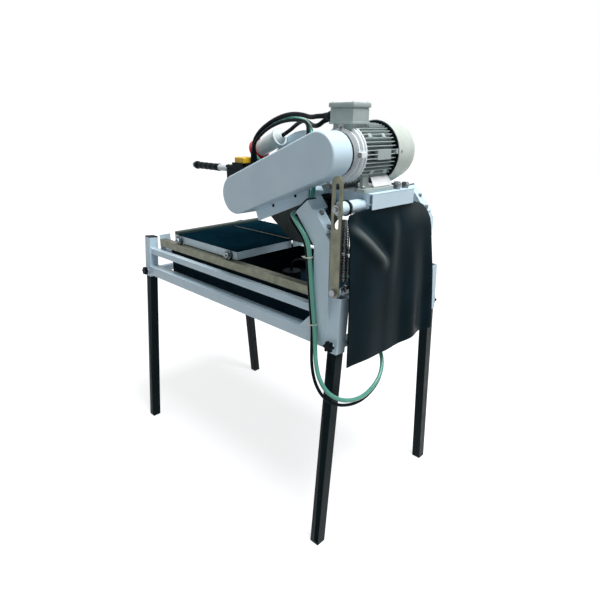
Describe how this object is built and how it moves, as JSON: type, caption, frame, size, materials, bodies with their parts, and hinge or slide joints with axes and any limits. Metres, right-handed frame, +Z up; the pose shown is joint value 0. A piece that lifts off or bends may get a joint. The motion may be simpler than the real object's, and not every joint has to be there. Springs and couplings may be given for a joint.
{
  "type": "wet stone table saw",
  "caption": "Wet stone table saw: rolling slotted table over a water pan on a stand with plug-in legs, and a pivoting belt-driven saw head with guard, lift spring and rear splash curtain.",
  "frame": {"origin": "on the floor, midway between the four feet", "axes": "+Z up; +X from the operator's end to the motor end; -Y is the belt guard's side"},
  "size_m": [1.1758, 0.6826, 1.408],
  "materials": {
    "white_paint": "satin powder coat, cool white",
    "black_paint": "semi-gloss black paint",
    "zinc_steel": "yellowish zinc plate, a little worn",
    "steel": "bare machined steel",
    "spring_steel": "dark oiled spring wire",
    "motor_grey": "grey-painted cast aluminium",
    "black_plastic": "matte black plastic",
    "black_rubber": "matte black rubber sheet",
    "yellow_plastic": "glossy yellow plastic",
    "green_plastic": "glossy green button",
    "red_plastic": "glossy red plastic",
    "hose": "green flexible hose beside a black cable"
  },
  "bodies": {
    "frame": {"leg_sockets": "white_paint", "lower_rails": "white_paint", "upper_rails": "white_paint", "cross_tubes": "white_paint", "column_near": "white_paint", "column_far": "white_paint", "frame_plates": "white_paint", "post_caps": "black_plastic", "carriage_rails": "zinc_steel", "water_pan": "black_paint", "water_pump": "black_plastic", "pivot_bearings": "white_paint", "strap_pin": "zinc_steel", "water_lines_lower": "hose", "lift_spring": "spring_steel", "water_lines_flex": "hose"},
    "carriage": {"table_plate": "white_paint", "table_mat": "black_rubber", "fence_strip": "white_paint", "carriage_frame": "white_paint"},
    "front_axle": {"front_wheels": "steel"},
    "rear_axle": {"rear_wheels": "steel"},
    "strap": {"depth_strap": "zinc_steel"},
    "head": {"motor_base": "white_paint", "lift_tube": "white_paint", "pivot_shaft": "steel", "head_arm": "white_paint", "arbor_housing": "white_paint", "guard_back_plate": "white_paint", "belt_guard": "white_paint", "motor_frame": "motor_grey", "fan_cover": "motor_grey", "terminal_box": "motor_grey", "drive_belt": "black_rubber", "blade_guard": "white_paint", "splash_skirt": "black_rubber", "handle_bar": "steel", "handle_grip": "black_plastic", "switch_box": "black_plastic", "switch_cover": "yellow_plastic", "head_hardware": "zinc_steel", "motor_cable": "black_rubber", "supply_cord": "black_rubber", "supply_plug": "red_plastic", "water_lines_upper": "hose"},
    "spindle": {"arbor": "steel", "saw_blade": "steel"},
    "motor_rotor": {"motor_shaft": "steel"},
    "start": {"start_button": "green_plastic"},
    "stop": {"stop_button": "red_plastic"},
    "rear_curtain": {"curtain": "black_rubber"},
    "leg_front_near": {"leg_front_near": "black_paint"},
    "knob_front_near": {"knob_front_near": "black_plastic"},
    "leg_front_far": {"leg_front_far": "black_paint"},
    "knob_front_far": {"knob_front_far": "black_plastic"},
    "leg_rear_near": {"leg_rear_near": "black_paint"},
    "knob_rear_near": {"knob_rear_near": "black_plastic"},
    "leg_rear_far": {"leg_rear_far": "black_paint"},
    "knob_rear_far": {"knob_rear_far": "black_plastic"}
  },
  "joints": [
    {"name": "head_pivot", "type": "hinge", "parent": "frame", "child": "head", "pos_m": [0.424, 0, 1.123], "axis": [0, -1, 0], "range_deg": [-3, 12], "deforming": ["lift_spring", "splash_skirt", "water_lines_flex"]},
    {"name": "strap_swing", "type": "hinge", "parent": "frame", "child": "strap", "pos_m": [0.545, -0.281, 0.897], "axis": [0, -1, 0], "range_deg": [-2, 4]},
    {"name": "curtain_hang", "type": "hinge", "parent": "head", "child": "rear_curtain", "pos_m": [0.5763, 0, 1.128], "axis": [0, -1, 0], "range_deg": [-13, 4]},
    {"name": "carriage_slide", "type": "slide", "parent": "frame", "child": "carriage", "axis": [1, 0, 0], "range_m": [-0.05, 0.38]},
    {"name": "front_wheels_roll", "type": "hinge", "parent": "carriage", "child": "front_axle", "pos_m": [-0.34, 0, 0.8925], "axis": [0, 1, 0], "continuous": true},
    {"name": "rear_wheels_roll", "type": "hinge", "parent": "carriage", "child": "rear_axle", "pos_m": [-0.01, 0, 0.8925], "axis": [0, 1, 0], "continuous": true},
    {"name": "arbor_spin", "type": "hinge", "parent": "head", "child": "spindle", "pos_m": [0.127, 0.058, 1.132], "axis": [0, 1, 0], "continuous": true},
    {"name": "motor_spin", "type": "hinge", "parent": "head", "child": "motor_rotor", "pos_m": [0.485, -0.27, 1.272], "axis": [0, 1, 0], "continuous": true},
    {"name": "leg_front_near_slide", "type": "slide", "parent": "frame", "child": "leg_front_near", "axis": [0, -0.0828, -0.9966], "range_m": [0, 0.12]},
    {"name": "knob_front_near_turn", "type": "hinge", "parent": "frame", "child": "knob_front_near", "pos_m": [-0.5435, -0.29257, 0.72848], "axis": [0, -0.9966, 0.0828], "continuous": true},
    {"name": "leg_front_far_slide", "type": "slide", "parent": "frame", "child": "leg_front_far", "axis": [0, 0.0828, -0.9966], "range_m": [0, 0.12]},
    {"name": "knob_front_far_turn", "type": "hinge", "parent": "frame", "child": "knob_front_far", "pos_m": [-0.5435, 0.29257, 0.72848], "axis": [0, 0.9966, 0.0828], "continuous": true},
    {"name": "leg_rear_near_slide", "type": "slide", "parent": "frame", "child": "leg_rear_near", "axis": [0, -0.0828, -0.9966], "range_m": [0, 0.12]},
    {"name": "knob_rear_near_turn", "type": "hinge", "parent": "frame", "child": "knob_rear_near", "pos_m": [0.5435, -0.29257, 0.72848], "axis": [0, -0.9966, 0.0828], "continuous": true},
    {"name": "leg_rear_far_slide", "type": "slide", "parent": "frame", "child": "leg_rear_far", "axis": [0, 0.0828, -0.9966], "range_m": [0, 0.12]},
    {"name": "knob_rear_far_turn", "type": "hinge", "parent": "frame", "child": "knob_rear_far", "pos_m": [0.5435, 0.29257, 0.72848], "axis": [0, 0.9966, 0.0828], "continuous": true},
    {"name": "start_press", "type": "slide", "parent": "head", "child": "start", "axis": [1, 0, 0], "range_m": [0, 0.004], "stiffness_N_per_m": 500, "springref_m": -0.004},
    {"name": "stop_press", "type": "slide", "parent": "head", "child": "stop", "axis": [1, 0, 0], "range_m": [0, 0.004], "stiffness_N_per_m": 500, "springref_m": -0.004}
  ],
  "couplings": [
    {"joint": "strap_swing", "follows": "head_pivot", "ratio": 0.088},
    {"joint": "curtain_hang", "follows": "head_pivot", "ratio": -1},
    {"joint": "front_wheels_roll", "follows": "carriage_slide", "rad_per_m": 57.143},
    {"joint": "rear_wheels_roll", "follows": "carriage_slide", "rad_per_m": 57.143},
    {"joint": "motor_spin", "follows": "arbor_spin", "ratio": 1}
  ]
}
